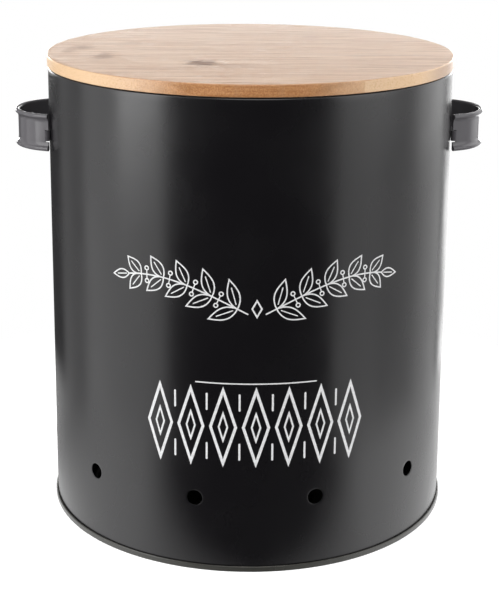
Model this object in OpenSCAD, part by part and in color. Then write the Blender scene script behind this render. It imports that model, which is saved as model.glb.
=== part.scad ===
// Round steel storage bin with a bamboo lid, two strap handles and air vents.
// Millimetres, +Z up. The origin is on the table, on the shell's axis.
// The front, with the print, faces -Y and the handles stand out along X.

/* [Shell] */
// Outside diameter of the rolled steel shell
shell_d = 240; // [200:1:300]
// Height of the shell's rim above the table
shell_h = 270; // [180:1:320]
// Thickness of the shell's sheet
shell_t = 0.35; // [0.3:0.05:0.6]
// Diameter of the inward curl along the rim
curl_d = 2.6; // [2:0.1:4]
// Width of the lap seam down the rear, which lies midway between two vents
lap_w = 7; // [4:0.5:12]

/* [Air vents] */
// Number of air vents round the foot of the shell
vent_n = 11; // [6:1:18]
// Diameter of each air vent
vent_d = 9; // [3:0.5:14]
// Height of the vents' centres above the table
vent_z = 43; // [20:1:80]

/* [Base] */
// Thickness of the base's sheet
base_t = 0.35; // [0.3:0.05:0.6]
// Height of the double seam that joins base and shell
seam_h = 3.2; // [2.6:0.1:5]
// Height of the base's panel above the table
panel_z = 3.4; // [2.5:0.1:6]
// Drop of the pressed step in the base's panel
panel_step = 0.9; // [0.5:0.1:1.5]
// Diameter inside the pressed step
panel_d = 190; // [120:1:192]

/* [Handles] */
// Distance from the rim down to the middle of each handle
grip_drop = 37.5; // [30:0.5:90]
// Width of a handle where it meets the shell, over its outer faces
grip_w = 58; // [50:1:62]
// How far a handle stands out from the shell
grip_reach = 20.5; // [19.5:0.5:34]
// Angle at which each leg leans outwards to the shell
leg_lean = 22; // [20:1:28]
// Thickness of the strap's sheet
strap_t = 1; // [0.8:0.1:1.4]
// Height of the strap
strap_h = 22; // [18:0.5:30]
// Height of the rolled edge and of the hollow that leads out to it
bead_h = 5; // [4.2:0.1:6]
// How far a rolled edge stands out from the strap's face
bead_proud = 1.8; // [1.2:0.1:2.4]

/* [Feet and rivets] */
// Height of the foot that is turned in against the shell
foot_h = 6; // [5.5:0.5:7]
// Drop of the foot below the middle of the strap
foot_drop = 2.2; // [0:0.1:2.4]
// Length of the foot along the shell
foot_l = 12; // [8:0.5:14]
// Inside radius of the bend between strap and foot
foot_bend_r = 1.2; // [0.8:0.1:2]
// Cut at each side of the foot, where the strap is slit
foot_slit = 0.6; // [0.3:0.1:0.8]
// How much the foot's strip is thinned on each face
foot_thin = 0.05; // [0.03:0.01:0.1]
// Diameter of a rivet's shank
rivet_d = 3; // [2:0.1:3.6]
// Diameter of a rivet's outer head
rivet_head_d = 5.4; // [4.6:0.1:6]
// Height of a rivet's outer head
rivet_head_h = 1.2; // [0.8:0.1:1.8]
// Diameter of a rivet's closed end inside the shell
rivet_tail_d = 4.5; // [4.2:0.1:5.5]
// Height of a rivet's closed end inside the shell
rivet_tail_h = 0.9; // [0.5:0.1:1.5]

/* [Lid] */
// How far the bamboo board stands out past the shell
lid_overhang = 0.5; // [0.3:0.1:6]
// Thickness of the board above the rim
lid_t = 7; // [5:0.5:16]
// Rounding along the board's top edge
lid_top_round = 0.9; // [0.4:0.1:2]
// Rounding along the board's bottom edge
lid_low_round = 0.5; // [0.3:0.1:1]
// Depth of the plug that drops inside the rim
plug_h = 8; // [7:0.5:14]
// Chamfer along the plug's bottom edge
plug_chamfer = 1; // [0.5:0.1:1.4]
// Depth of the groove that holds the seal
groove_depth = 2; // [1:0.1:4]
// Height of the groove that holds the seal
groove_h = 3; // [2:0.1:4]
// Distance from the board's underside to the middle of the groove
groove_drop = 4; // [3.2:0.1:4.4]
// Diameter of the seal's rounded lip
seal_lip_d = 1.8; // [1:0.1:1.9]

/* [Fits] */
// Clearance between the folded layers of the double seam
seam_gap = 0.05; // [0.02:0.01:0.1]
// Play at the ends of the seam's hooks
hook_play = 0.3; // [0.2:0.05:0.5]
// Clearance between a handle's foot and the shell
foot_gap = 0.15; // [0.05:0.05:0.4]
// Clearance between the strap's cut ends and the shell
end_gap = 1.2; // [0.4:0.1:2]
// Clearance round a rivet's shank
rivet_gap = 0.05; // [0.02:0.01:0.2]
// Height at which the seal's grip holds the board above the rim
board_gap = 0.3; // [0.2:0.05:0.6]
// Clearance between the plug and the rim's curl
plug_gap = 1; // [0.6:0.1:3]
// Clearance between the seal's lip and the rim's curl
seal_gap = 0.3; // [0.2:0.05:0.5]
// Clearance between the seal and its groove
groove_gap = 0.1; // [0.05:0.05:0.2]

/* [View] */
// Which piece to draw

/* [Hidden] */
$fn = 96;
cut = 1; // how far a cutting solid runs past what it cuts
REAR = 1;
FRONT = -1;

shell_r = shell_d / 2;
shell_in_r = shell_r - shell_t;
curl_r = curl_d / 2;
curl_z = shell_h - curl_r;
mouth_r = shell_r - curl_d;
lap_deg = degrees(lap_w, shell_r);
vent_deg = 360 / vent_n;
first_vent = -90 + vent_deg / 2;
lap_place = first_vent + (floor(vent_n / 2) - 0.5) * vent_deg;

// Radii of the double seam's layers, from the shell's wall outwards
base_hook_r = shell_r + seam_gap;
shell_hook_r = base_hook_r + base_t + seam_gap;
seam_in_r = shell_hook_r + shell_t + seam_gap;
seam_r = seam_in_r + base_t;
shell_foot_z = base_t + seam_gap;
well_r = shell_in_r - seam_gap;
well_in_r = well_r - base_t;
panel_r = panel_d / 2;
step_run = panel_step * 2;

// The handle's path, seen from above: a leg, a round bow and a leg. What belongs to a
// leg is drawn as if the rear leg ran along X, and is then turned about the shell's axis
bead_t = strap_t + bead_proud;
grip_z = shell_h - grip_drop;
foot_z = grip_z - foot_drop;
sideways = 90; // heading of the rear leg's outer face, as it is drawn
leg_turn = sideways - leg_lean;
leg_deg = asin((grip_w / 2 - bead_t) / shell_r) + leg_lean;
leg_in_y = shell_r * sin(leg_deg);
leg_y = leg_in_y + bead_t;
leg_end_x = shell_r * cos(leg_deg) + end_gap;
leg_end = [
    leg_end_x * cos(leg_lean) + leg_y * sin(leg_lean),
    leg_y * cos(leg_lean) - leg_end_x * sin(leg_lean)
];
front_r = (leg_y - (shell_r + grip_reach) * cos(leg_turn)) / (1 - cos(leg_turn));
front_x = shell_r + grip_reach - front_r;
bow_steps = 28;
strap_path = concat(
    [[leg_end[0], -leg_end[1], -leg_turn]],
    bow(front_x, front_r, leg_turn),
    [[leg_end[0], leg_end[1], leg_turn]]
);

// The strap's section, as levels: [height, inner face, outer face], with the
// faces measured from the outer side of the rolled edge
bead_r = bead_t / 2;
bead_mid = strap_h / 2 - bead_r;
hollow_deg = 2 * atan(bead_proud / (bead_h - bead_r));
hollow_r = (bead_h - bead_r) / sin(hollow_deg) - bead_r;
hollow_low = strap_h / 2 - bead_h;
hollow_turns = [0, hollow_deg / 3, hollow_deg * 2 / 3];
under_turns = [-hollow_deg, -hollow_deg / 2, 0];
over_turns = [30, 60, 80];
upper_levels = concat(
    [
        for (a = hollow_turns)
            [hollow_low + hollow_r * sin(a), -bead_t, strap_t - bead_t + hollow_r * (1 - cos(a))]
    ],
    [
        for (a = under_turns)
            [bead_mid + bead_r * sin(a), -bead_t, bead_r * cos(a) - bead_r]
    ],
    [
        for (a = over_turns)
            [bead_mid + bead_r * sin(a), -bead_r * cos(a) - bead_r, bead_r * cos(a) - bead_r]
    ]
);
lower_levels = [for (l = reversed(upper_levels)) [-l[0], l[1], l[2]]];
strap_levels = concat(lower_levels, upper_levels);

// The foot is an arc round the shell, and its bend touches both foot and strap
foot_t = strap_t - 2 * foot_thin;
foot_r = shell_r + foot_gap;
foot_out_r = foot_r + foot_t;
foot_anchor = 1.5; // how far the strip's root is drawn into the strap
bend_y = leg_in_y + foot_thin - foot_bend_r;
bend_x = sqrt(pow(foot_out_r + foot_bend_r, 2) - pow(bend_y, 2));
bend_deg = atan2(bend_y, bend_x);
foot_deg = degrees(foot_l, foot_r);
rivet_deg = bend_deg - foot_deg / 2 - leg_lean;
rivet_tail_x = sqrt(pow(shell_in_r, 2) - pow(rivet_tail_d / 2, 2));

// The lid
lid_r = shell_r + lid_overhang;
board_z = shell_h + board_gap;
plug_r = mouth_r - plug_gap;
groove_r = plug_r - groove_depth;
groove_z = board_z - groove_drop;
seal_r = mouth_r - seal_gap;
seal_h = groove_h - 2 * groove_gap;
seal_in_r = groove_r + groove_gap;

// Angle that an arc of this length takes at this radius
function degrees(length, radius) = length / radius * 180 / PI;

// Points round part of a circle
function arc(cx, cy, radius, from, to, steps) = [
    for (i = [0:steps])
        let (a = from + (to - from) * i / steps)
            [cx + radius * cos(a), cy + radius * sin(a)]
];

// Stations round the strap's bow: [x, y, outward heading]
function bow(cx, radius, half) = [
    for (i = [0:bow_steps])
        let (a = half * (2 * i / bow_steps - 1))
            [cx + radius * cos(a), radius * sin(a), a]
];

// The points that lie at one offset from a station, one for each of the given levels
function station_points(station, levels, face) = [
    for (l = levels)
        [station[0] + l[face] * cos(station[2]), station[1] + l[face] * sin(station[2]), l[0]]
];

function reversed(list) = [for (i = [len(list) - 1:-1:0]) list[i]];

// ---- Shapes used by more than one piece ----

// A flat ring section between two radii and two heights, for turning
module band(r_in, r_out, z_low, z_high) {
    translate([r_in, z_low])
        square([r_out - r_in, z_high - z_low]);
}

// Puts a child that points along +X at a rivet's place and height
module at_rivet(side, end) {
    turn = side > 0 ? end * rivet_deg : 180 - end * rivet_deg;
    rotate([0, 0, turn])
        translate([0, 0, foot_z])
            children();
}

module rivet_hole(side, end) {
    at_rivet(side, end)
        translate([shell_in_r - 3 * cut, 0, 0])
            rotate([0, 90, 0])
                cylinder(r = rivet_d / 2 + rivet_gap, h = foot_out_r - shell_in_r + 6 * cut);
}

// ---- The body ----

// The rim's curl: a roll turned inwards, open where its edge comes back to the wall
module curl_section() {
    translate([shell_r - curl_r, curl_z]) {
        difference() {
            circle(r = curl_r);
            circle(r = curl_r - shell_t);
            translate([curl_r / 5, -curl_d])
                square(curl_d);
        }
    }
}

module shell_section() {
    curl_section();
    band(shell_in_r, shell_r, shell_foot_z, curl_z);
    band(shell_in_r, shell_hook_r + shell_t, shell_foot_z, shell_foot_z + shell_t);
    band(shell_hook_r, shell_hook_r + shell_t, shell_foot_z, seam_h - base_t - hook_play);
}

module lap_seam() {
    rotate([0, 0, lap_place - lap_deg / 2])
        rotate_extrude(angle = lap_deg)
            band(shell_r - shell_t / 2, shell_r + shell_t, seam_h + curl_d, curl_z - curl_d);
}

module vent_holes() {
    for (i = [0:vent_n - 1])
        rotate([0, 0, first_vent + i * vent_deg])
            translate([shell_in_r - 5 * cut, 0, vent_z])
                rotate([0, 90, 0])
                    cylinder(d = vent_d, h = 10 * cut);
}

module body_shell() {
    color("#1d1d1f")
        difference() {
            union() {
                rotate_extrude()
                    shell_section();
                lap_seam();
            }
            vent_holes();
            for (side = [-1, 1], end = [FRONT, REAR])
                rivet_hole(side, end);
        }
}

module base_section() {
    // the seam's outside, folded over at the top and hooked down again
    band(well_in_r, seam_r, 0, base_t);
    band(seam_in_r, seam_r, 0, seam_h);
    band(base_hook_r, seam_r, seam_h - base_t, seam_h);
    band(base_hook_r, base_hook_r + base_t, shell_foot_z + shell_t + hook_play, seam_h);
    // the well's wall, and the panel with its pressed step
    band(well_in_r, well_r, 0, panel_z + base_t);
    band(panel_r + step_run, well_r, panel_z, panel_z + base_t);
    polygon([
        [panel_r, panel_z - panel_step],
        [panel_r + step_run, panel_z],
        [panel_r + step_run, panel_z + base_t],
        [panel_r, panel_z - panel_step + base_t]
    ]);
    band(0, panel_r, panel_z - panel_step, panel_z - panel_step + base_t);
}

module base_plate() {
    color("#3a3a36")
        rotate_extrude()
            base_section();
}

// ---- The handles ----

// The strap: its section, a web with a hollow and a roll along each edge, swept along its path
module strap() {
    level_n = len(strap_levels);
    ring_n = 2 * level_n;
    last = (len(strap_path) - 1) * ring_n;
    points = [
        for (station = strap_path)
            each concat(
                station_points(station, strap_levels, 2),
                reversed(station_points(station, strap_levels, 1))
            )
    ];
    sides = [
        for (s = [0:len(strap_path) - 2], j = [0:ring_n - 1])
            let (k = (j + 1) % ring_n)
                [s * ring_n + j, s * ring_n + k, (s + 1) * ring_n + k, (s + 1) * ring_n + j]
    ];
    ends = [
        for (j = [0:level_n - 2])
            each [
                [j, ring_n - 1 - j, ring_n - 2 - j, j + 1],
                [last + j, last + j + 1, last + ring_n - 2 - j, last + ring_n - 1 - j]
            ]
    ];
    polyhedron(points, concat(sides, ends));
}

// The strip that the two slits leave, bent inwards and laid against the shell
module foot() {
    root_x = bend_x + foot_anchor;
    root_y = leg_in_y + foot_thin;
    bend_end = 180 + bend_deg;
    foot_end = bend_deg - foot_deg;
    inside = concat(
        [[root_x, root_y]],
        arc(bend_x, bend_y, foot_bend_r, sideways, bend_end, 10),
        arc(0, 0, foot_out_r, bend_deg, foot_end, 8)
    );
    outside = concat(
        [[root_x, root_y + foot_t]],
        arc(bend_x, bend_y, foot_bend_r + foot_t, sideways, bend_end, 10),
        arc(0, 0, foot_r, bend_deg, foot_end, 8)
    );
    rotate([0, 0, -leg_lean])
        translate([0, 0, foot_z - foot_h / 2])
            linear_extrude(foot_h)
                polygon(concat(inside, reversed(outside)));
}

// The window that the slits and the bent strip leave at the strap's end
module foot_window() {
    rotate([0, 0, -leg_lean])
        translate([leg_end_x - cut, leg_in_y - cut, foot_z - foot_h / 2 - foot_slit])
            cube([bend_x - leg_end_x + cut, strap_t + 2 * cut, foot_h + 2 * foot_slit]);
}

// One handle, on the shell's +X side
module handle() {
    difference() {
        union() {
            difference() {
                translate([0, 0, grip_z])
                    strap();
                foot_window();
                mirror([0, 1, 0])
                    foot_window();
            }
            foot();
            mirror([0, 1, 0])
                foot();
        }
        for (end = [FRONT, REAR])
            rivet_hole(1, end);
    }
}

module handle_right() {
    color("#343336")
        handle();
}

module handle_left() {
    color("#343336")
        mirror([1, 0, 0])
            handle();
}

// A rivet: domed head outside, shank, and closed end inside
module rivet(side, end) {
    dome_r = (pow(rivet_head_d / 2, 2) + pow(rivet_head_h, 2)) / (2 * rivet_head_h);
    color("#46454a")
        at_rivet(side, end)
            rotate([0, 90, 0])
                rotate_extrude() {
                    band(0, rivet_d / 2, rivet_tail_x - rivet_tail_h / 2, foot_out_r + rivet_head_h / 2);
                    band(0, rivet_tail_d / 2, rivet_tail_x - rivet_tail_h, rivet_tail_x);
                    intersection() {
                        translate([0, foot_out_r + rivet_head_h - dome_r])
                            circle(r = dome_r);
                        band(0, rivet_head_d / 2, foot_out_r, foot_out_r + rivet_head_h);
                    }
                }
}

// ---- The lid ----

// The board's outline, with rounded top and bottom edges
module board_section() {
    band(0, lid_r - lid_top_round, board_z, board_z + lid_t);
    band(0, lid_r, board_z + lid_low_round, board_z + lid_t - lid_top_round);
    band(0, lid_r - lid_low_round, board_z, board_z + lid_t / 2);
    translate([lid_r - lid_top_round, board_z + lid_t - lid_top_round])
        circle(r = lid_top_round);
    translate([lid_r - lid_low_round, board_z + lid_low_round])
        circle(r = lid_low_round);
}

module plug_section() {
    polygon([
        [0, board_z - plug_h],
        [plug_r - plug_chamfer, board_z - plug_h],
        [plug_r, board_z - plug_h + plug_chamfer],
        [plug_r, board_z + lid_t / 2],
        [0, board_z + lid_t / 2]
    ]);
}

module lid_board() {
    color("#dcb487")
        rotate_extrude()
            difference() {
                union() {
                    board_section();
                    plug_section();
                }
                band(groove_r, plug_r + cut, groove_z - groove_h / 2, groove_z + groove_h / 2);
            }
}

module lid_seal() {
    color("#d9d8d2")
        rotate_extrude() {
            band(seal_in_r, plug_r, groove_z - seal_h / 2, groove_z + seal_h / 2);
            band(seal_in_r, seal_r - seal_lip_d / 2, groove_z - seal_lip_d / 2, groove_z + seal_lip_d / 2);
            translate([seal_r - seal_lip_d / 2, groove_z])
                circle(d = seal_lip_d);
        }
}

body_shell();
base_plate();
handle_left();
handle_right();
rivet(-1, FRONT);  // rivet_left_front
rivet(-1, REAR);  // rivet_left_rear
rivet(1, FRONT);  // rivet_right_front
rivet(1, REAR);  // rivet_right_rear
lid_board();
lid_seal();
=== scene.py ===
"""Potato storage bin: a round black steel tin with a bamboo lid and two strap handles."""
import math

import bmesh
import bpy
from mathutils import Matrix, Vector


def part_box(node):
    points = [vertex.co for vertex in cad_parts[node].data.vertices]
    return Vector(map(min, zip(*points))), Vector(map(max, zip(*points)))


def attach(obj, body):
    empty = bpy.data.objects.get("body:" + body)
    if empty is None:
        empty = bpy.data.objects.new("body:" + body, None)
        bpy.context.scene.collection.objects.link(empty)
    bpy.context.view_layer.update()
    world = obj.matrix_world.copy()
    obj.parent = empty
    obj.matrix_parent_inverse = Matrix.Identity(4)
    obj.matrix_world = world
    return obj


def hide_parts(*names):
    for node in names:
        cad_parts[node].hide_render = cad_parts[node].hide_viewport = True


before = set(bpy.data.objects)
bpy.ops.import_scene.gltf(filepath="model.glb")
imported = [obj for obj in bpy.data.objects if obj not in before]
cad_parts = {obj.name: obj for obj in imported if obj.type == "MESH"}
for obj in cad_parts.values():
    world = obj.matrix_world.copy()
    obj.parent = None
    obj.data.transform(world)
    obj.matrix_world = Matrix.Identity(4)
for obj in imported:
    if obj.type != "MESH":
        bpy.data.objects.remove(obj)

MM = 0.001
NEGLIGIBLE = 1e-9
QUARTER = math.pi / 2
FULL_TURN = 360
ROUND_COLUMNS = 360

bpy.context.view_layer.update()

# ---- Sizes, in metres, taken from the frame where it holds them ----

# shell: the sheet, the seam at its foot, the curl of its rim, the lap at its back
RIM_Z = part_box("body_shell")[1].z
SHELL_FOOT_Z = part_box("body_shell")[0].z
SHEET = 0.35 * MM
SEAM_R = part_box("base_plate")[1].x
SEAM_H = 3.2 * MM
SEAM_PROUD = 1.2 * MM
SHELL_R = SEAM_R - SEAM_PROUD
SHELL_IN_R = SHELL_R - SHEET
CURL_R = 1.3 * MM
CURL_Z = RIM_Z - CURL_R
CURL_END = math.radians(281)
CURL_STEPS = 20
LAP_W = 7 * MM
LAP_HALF_DEG = math.degrees(LAP_W / SHELL_R) / 2
LAP_EDGE_DEG = 0.06
LAP_RISE = 0.1 * MM
LAP_ROW = 2

# air vents and lap, placed round the bin in degrees
VENT_COUNT = 11
VENT_PITCH = FULL_TURN / VENT_COUNT
FIRST_VENT = VENT_PITCH / 2 - 90
VENT_ANGLES = [FIRST_VENT + i * VENT_PITCH for i in range(VENT_COUNT)]
LAP_PLACE = FIRST_VENT + (VENT_COUNT // 2 - 0.5) * VENT_PITCH
VENT_R = 4.5 * MM
VENT_Z = 43 * MM
VENT_LIP = 0.3 * MM
VENT_CELLS = 8
VENT_STEPS = [2 * i / VENT_CELLS - 1 for i in range(VENT_CELLS + 1)]
VENT_HALF_DEG = 4
VENT_HALF = SHELL_R * math.radians(VENT_HALF_DEG)
VENT_ROW = 3
JUST_PAST_DEG = 0.01

# rings round a vent from outside to inside: the wall's radius, the ring's own, how round it is
VENT_RINGS = [
    (SHELL_R, VENT_R + VENT_LIP, 0.45),
    (SHELL_R, VENT_R + VENT_LIP, 0.8),
    (SHELL_R, VENT_R + VENT_LIP, 1),
    (SHELL_R - 0.3 * VENT_LIP, VENT_R + 0.3 * VENT_LIP, 1),
    (SHELL_R - VENT_LIP, VENT_R, 1),
    (SHELL_IN_R, VENT_R, 1),
    (SHELL_IN_R, VENT_R, 0.6),
]

# base: its panel, and the end of its fold in the seam
PANEL_TOP_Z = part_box("base_plate")[1].z
PANEL_STEP = 0.9 * MM
PANEL_R = 95 * MM
SEAM_PLAY = 0.05 * MM
HOOK_END_Z = 1.05 * MM

# handles: the strap with its rolled edges, its legs, bow and feet
GRIP_LOW, GRIP_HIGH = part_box("handle_right")
GRIP_Z = (GRIP_LOW.z + GRIP_HIGH.z) / 2
GRIP_H = GRIP_HIGH.z - GRIP_LOW.z
GRIP_W = 58 * MM
STRAP_T = 1 * MM
STRAP_EDGE_BREAK = 0.12 * MM
BEAD_T = 2.8 * MM
BEAD_H = 5 * MM
BEAD_CAP = math.radians(80)
BEAD_STEPS = 8
LEG_LEAN = math.radians(22)
LEG_TURN = QUARTER - LEG_LEAN
LEG_ANGLE = math.asin((GRIP_W / 2 - BEAD_T) / SHELL_R) + LEG_LEAN
LEG_Y = SHELL_R * math.sin(LEG_ANGLE) + BEAD_T
LEG_GAP = 1.2 * MM
LEG_END_X = SHELL_R * math.cos(LEG_ANGLE) + LEG_GAP
BOW_R = (LEG_Y - GRIP_HIGH.x * math.cos(LEG_TURN)) / (1 - math.cos(LEG_TURN))
BOW_STEPS = 48
FOOT_T = 0.9 * MM
FOOT_H = 6 * MM
FOOT_DROP = 2.2 * MM
FOOT_SLIT = 0.6 * MM
FOOT_L = 12 * MM
FOOT_GAP = 0.15 * MM
FOOT_R = SHELL_R + FOOT_GAP
FOOT_BEND_R = 1.2 * MM
FOOT_ROOT = 1.5 * MM
FOOT_STEPS = 12

# rivets
RIVET_R = 1.5 * MM
RIVET_HEAD_R = 2.7 * MM
RIVET_HEAD_H = 1.2 * MM
RIVET_HOLE_R = 0.8 * MM
RIVET_TAIL_R = 2.25 * MM
RIVET_TAIL_H = 0.9 * MM
RIVET_TAIL_ROUND = 0.3 * MM
RIVET_DOME_STEPS = 10
RIVET_COLUMNS = 40

# lid: the board, its plug and groove, the seal
LID_R = min(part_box("lid_board")[1][:2])
LID_TOP_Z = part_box("lid_board")[1].z
LID_T = 7 * MM
BOARD_Z = LID_TOP_Z - LID_T
BOARD_TOP_ROUND = 0.9 * MM
BOARD_LOW_ROUND = 0.5 * MM
PLUG_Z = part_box("lid_board")[0].z
PLUG_R = 116.4 * MM
PLUG_ROUND = 1 * MM
STEP_ROUND = 0.2 * MM
GROOVE_R = 114.4 * MM
GROOVE_H = 3 * MM
GROOVE_ROUND = 0.15 * MM
SEAL_LOW, SEAL_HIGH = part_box("lid_seal")
SEAL_Z = (SEAL_LOW.z + SEAL_HIGH.z) / 2
SEAL_R = min(SEAL_HIGH.x, SEAL_HIGH.y)
SEAL_LIP_R = 0.9 * MM
SEAL_LIP_STEPS = 12
SEAL_PLAY = 0.1 * MM


# ---- Outlines ----

def arc(centre, radius, start, end, steps):
    """Points round part of a circle, angles in radians."""
    points = []
    for i in range(steps + 1):
        angle = start + (end - start) * i / steps
        points.append((centre[0] + radius * math.cos(angle), centre[1] + radius * math.sin(angle)))
    return points


def rounded(corners, steps=6):
    """An outline from its first to its last corner, each (x, y, radius) between them rounded."""
    points = [tuple(corners[0][:2])]
    for before, corner, after in zip(corners, corners[1:], corners[2:]):
        here, radius = Vector(corner[:2]), corner[2]
        if radius == 0:
            points.append(tuple(here))
            continue
        back = (Vector(before[:2]) - here).normalized()
        onward = (Vector(after[:2]) - here).normalized()
        half = math.acos(max(-1, min(1, back.dot(onward)))) / 2
        centre = here + (back + onward).normalized() * radius / math.sin(half)
        start = here + back * radius / math.tan(half) - centre
        end = here + onward * radius / math.tan(half) - centre
        first = math.atan2(start.y, start.x)
        turn = math.remainder(math.atan2(end.y, end.x) - first, math.tau)
        points += arc(centre, radius, first, first + turn, steps)
    points.append(tuple(corners[-1][:2]))
    return points


# ---- Meshes ----

CREASE_ANGLE = math.radians(38)
CUT_EDGE_ANGLE = math.radians(50)
EDGE_SEGMENTS = 2


def on_wall(angle, radius, height):
    """The point of a wall round the bin's axis."""
    return (radius * math.cos(angle), radius * math.sin(angle), height)


def lathe(profile, columns, closed=False):
    """An outline of (radius, height) points turned about Z; a point on the axis stays single."""
    verts, rings = [], []
    for radius, height in profile:
        if radius < NEGLIGIBLE:
            rings.append([len(verts)] * columns)
            verts.append((0, 0, height))
            continue
        rings.append(list(range(len(verts), len(verts) + columns)))
        for i in range(columns):
            angle = math.tau * i / columns
            verts.append(on_wall(angle, radius, height))
    pairs = list(zip(rings, rings[1:]))
    if closed:
        pairs.append((rings[-1], rings[0]))
    faces = []
    for low, high in pairs:
        for i in range(columns):
            j = (i + 1) % columns
            corners = [low[i], low[j], high[j], high[i]]
            faces.append(list(dict.fromkeys(corners)))
    return verts, faces


def add_object(name, data):
    """A scene object that holds a mesh, a light or a camera."""
    thing = bpy.data.objects.new(name, data)
    bpy.context.scene.collection.objects.link(thing)
    return thing


def make_piece(name, verts, faces, body, material, replaced=()):
    """A smooth-shaded mesh that rides on a body and stands for CAD nodes."""
    mesh = bpy.data.meshes.new(name)
    mesh.from_pydata([tuple(v) for v in verts], [], faces)
    cleaner = bmesh.new()
    cleaner.from_mesh(mesh)
    bmesh.ops.recalc_face_normals(cleaner, faces=cleaner.faces)
    cleaner.to_mesh(mesh)
    cleaner.free()
    mesh.shade_smooth()
    mesh.set_sharp_from_angle(angle=CREASE_ANGLE)
    mesh.materials.append(material)
    piece = add_object(name, mesh)
    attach(piece, body)
    if replaced:
        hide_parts(*replaced)
    return piece


def even_shading(piece):
    """Keeps flat and round faces clean where a small rounding meets them."""
    even = piece.modifiers.new("even shading", "WEIGHTED_NORMAL")
    even.keep_sharp = True


def soften_edges(piece, width):
    """Breaks the cut edges of a sheet, so that they catch the light."""
    bevel = piece.modifiers.new("broken edges", "BEVEL")
    bevel.width = width
    bevel.segments = EDGE_SEGMENTS
    bevel.limit_method = "ANGLE"
    bevel.angle_limit = CUT_EDGE_ANGLE


# ---- Shell ----

def shell_columns():
    """The angles of the shell's columns in degrees: every degree, and both edges of the lap."""
    columns = [LAP_PLACE + side * (LAP_HALF_DEG + extra) for side in (-1, 1) for extra in (0, LAP_EDGE_DEG)]
    gap = VENT_PITCH - 2 * VENT_HALF_DEG
    gap_steps = math.ceil(gap)
    for centre in VENT_ANGLES:
        columns += [centre + VENT_HALF_DEG * step for step in VENT_STEPS]
        columns += [centre + VENT_HALF_DEG + gap * i / gap_steps for i in range(1, gap_steps)]
    return sorted(columns)


def shell_profile():
    """The sheet's outline: up the outside, round the curl and down the inside."""
    lap_low, lap_high = SEAM_H + 2 * CURL_R, CURL_Z - 2 * CURL_R
    below = [SHELL_FOOT_Z, lap_low - LAP_RISE, lap_low]
    above = [lap_high, lap_high + LAP_RISE, CURL_Z]
    heights = [*below, *(VENT_Z + VENT_HALF * step for step in VENT_STEPS), *above]
    outside = [(SHELL_R, z) for z in heights]
    inside = [(SHELL_IN_R, z) for z in reversed(heights)]
    centre = (SHELL_R - CURL_R, CURL_Z)
    curl_out = arc(centre, CURL_R, 0, CURL_END, CURL_STEPS)[1:]
    curl_in = arc(centre, CURL_R - SHEET, CURL_END, 0, CURL_STEPS - 2)[:-1]
    return [*outside, *curl_out, *curl_in, *inside], len(heights)


def square_rim(cells):
    """The steps round a square of cells, anticlockwise from its lower left corner."""
    side = range(cells)
    return (
        [(i, 0) for i in side]
        + [(cells, i) for i in side]
        + [(cells - i, cells) for i in side]
        + [(0, cells - i) for i in side]
    )


def vent_ring(verts, centre_deg, wall_r, radius, blend):
    """One ring round a vent, between its square of cells and its round edge."""
    ring = []
    for i, j in square_rim(VENT_CELLS):
        across, up = VENT_HALF * VENT_STEPS[i], VENT_HALF * VENT_STEPS[j]
        reach = math.hypot(across, up)
        across += (across / reach * radius - across) * blend
        up += (up / reach * radius - up) * blend
        angle = math.radians(centre_deg) + across / SHELL_R
        ring.append(len(verts))
        verts.append(on_wall(angle, wall_r, VENT_Z + up))
    return ring


def bridge(faces, first, second):
    """Joins two closed rings of points by a band of faces."""
    for i in range(len(first)):
        j = (i + 1) % len(first)
        faces.append([first[i], first[j], second[j], second[i]])


def cut_vent(verts, faces, grid, columns, centre_deg, inner_row):
    """Fills the square of cells round a vent with rings, and joins both walls by its cut edge."""
    middle = min(range(len(columns)), key=lambda i: abs(columns[i] - centre_deg))
    left = middle - VENT_CELLS // 2

    def rim(row, step):
        """One wall's points round the vent's cells."""
        return [grid[left + i][row + step * j] for i, j in square_rim(VENT_CELLS)]

    rings = [rim(VENT_ROW, 1)]
    rings += [vent_ring(verts, centre_deg, *ring) for ring in VENT_RINGS]
    rings.append(rim(inner_row, -1))
    for first, second in zip(rings, rings[1:]):
        bridge(faces, first, second)


def make_shell(paint):
    """The rolled shell: one sheet with a lap at the back, a curled rim and its vents."""
    profile, wall_rows = shell_profile()
    columns = shell_columns()
    verts, faces, grid = [], [], []
    for degrees in columns:
        on_lap = abs(degrees - LAP_PLACE) <= LAP_HALF_DEG + NEGLIGIBLE
        column = []
        for row, (radius, height) in enumerate(profile):
            if on_lap and LAP_ROW <= row < wall_rows - LAP_ROW:
                radius += SHEET
            column.append(len(verts))
            verts.append(on_wall(math.radians(degrees), radius, height))
        grid.append(column)
    last_inner_row = len(profile) - 1 - VENT_ROW
    vent_span = range(VENT_ROW, VENT_ROW + VENT_CELLS)
    inner_span = range(last_inner_row - VENT_CELLS, last_inner_row)
    for i in range(len(columns)):
        j = (i + 1) % len(columns)
        just_past = columns[i] + JUST_PAST_DEG
        near_vent = any(abs(just_past - angle) < VENT_HALF_DEG for angle in VENT_ANGLES)
        for row in range(len(profile)):
            if near_vent and (row in vent_span or row in inner_span):
                continue
            onward = (row + 1) % len(profile)
            faces.append([grid[i][row], grid[j][row], grid[j][onward], grid[i][onward]])
    for angle in VENT_ANGLES:
        cut_vent(verts, faces, grid, columns, angle, last_inner_row)
    return make_piece("rolled_shell", verts, faces, "bin", paint, ["body_shell"])


# ---- Base ----

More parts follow.
